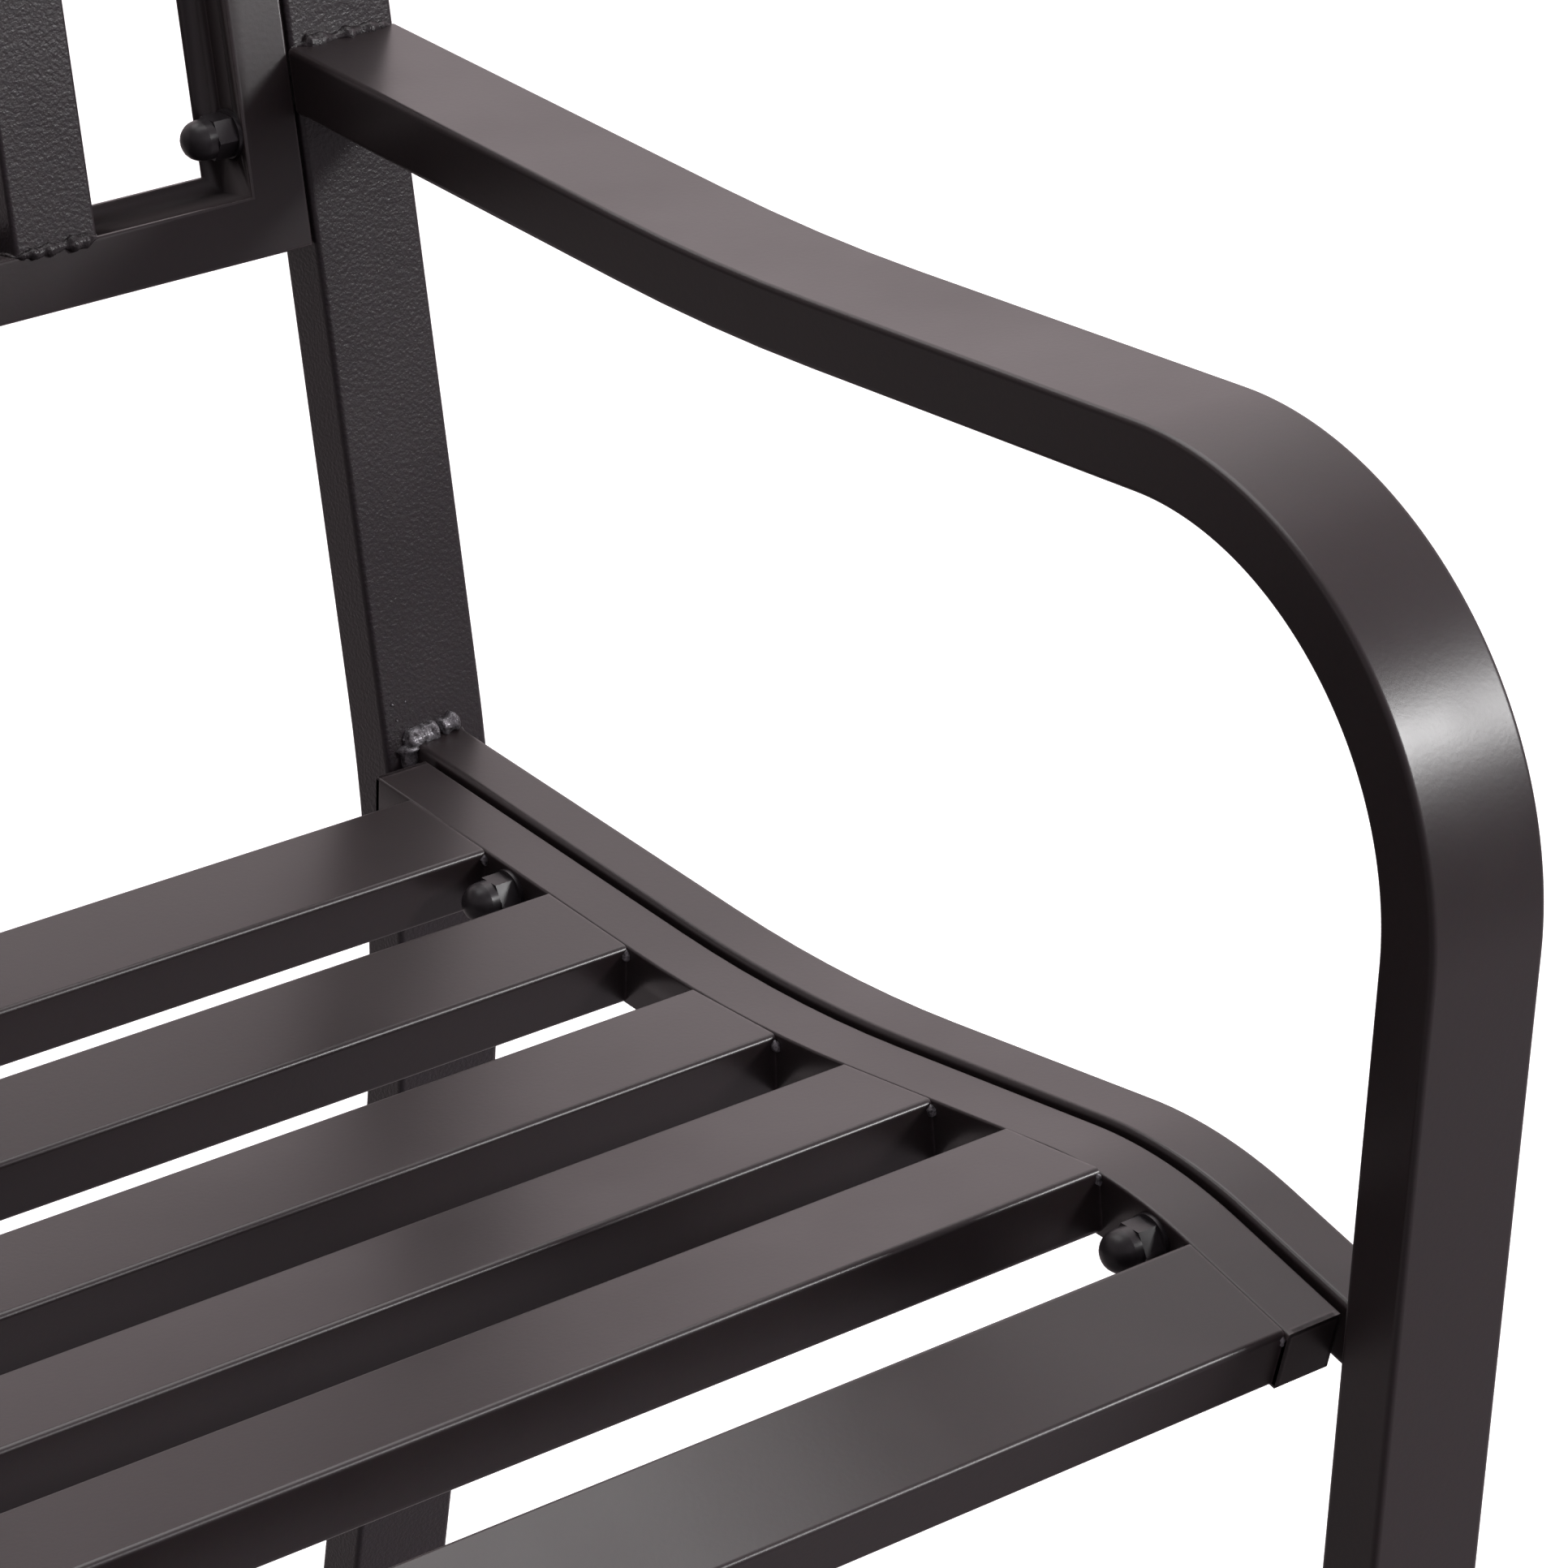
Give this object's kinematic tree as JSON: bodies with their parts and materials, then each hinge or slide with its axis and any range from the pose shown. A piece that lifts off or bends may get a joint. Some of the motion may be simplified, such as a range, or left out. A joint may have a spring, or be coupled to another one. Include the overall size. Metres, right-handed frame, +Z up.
{
  "type": "garden bench",
  "caption": "Steel garden bench with curved arms that run down into the front legs, a contoured seat of wide slats and a leaning back of upright slats.",
  "frame": {"origin": "on the floor, at the middle of the bench's length and depth", "axes": "+X along the bench to the sitter's left, which is the right-hand side seen from the front; +Y from the front edge towards the back; +Z up"},
  "size_m": [1.2798, 0.5888, 0.86],
  "materials": {
    "coated_steel": "satin",
    "coated_fastener": "gloss",
    "black_plastic": "matte"
  },
  "bodies": {
    "root": {"arm_front_leg_left": "coated_steel", "arm_front_leg_right": "coated_steel", "back_bolts": "coated_fastener", "back_post_left": "coated_steel", "back_post_right": "coated_steel", "back_rail_bottom": "coated_steel", "back_rail_top": "coated_steel", "back_side_bar_left": "coated_steel", "back_side_bar_right": "coated_steel", "back_slat_01": "coated_steel", "back_slat_02": "coated_steel", "back_slat_03": "coated_steel", "back_slat_04": "coated_steel", "back_slat_05": "coated_steel", "back_slat_06": "coated_steel", "back_slat_07": "coated_steel", "back_slat_08": "coated_steel", "back_slat_09": "coated_steel", "back_slat_10": "coated_steel", "back_slat_11": "coated_steel", "back_slat_12": "coated_steel", "cap_nuts": "coated_fastener", "front_foot_plug_left": "black_plastic", "front_foot_plug_right": "black_plastic", "post_cap_left": "black_plastic", "post_cap_right": "black_plastic", "rear_foot_plug_left": "black_plastic", "rear_foot_plug_right": "black_plastic", "seat_bolts": "coated_fastener", "seat_end_bar_left": "coated_steel", "seat_end_bar_right": "coated_steel", "seat_rail_left": "coated_steel", "seat_rail_right": "coated_steel", "seat_slat_1": "coated_steel", "seat_slat_2": "coated_steel", "seat_slat_3": "coated_steel", "seat_slat_4": "coated_steel", "seat_slat_5": "coated_steel", "seat_slat_6": "coated_steel", "washers": "coated_fastener"}
  },
  "joints": []
}
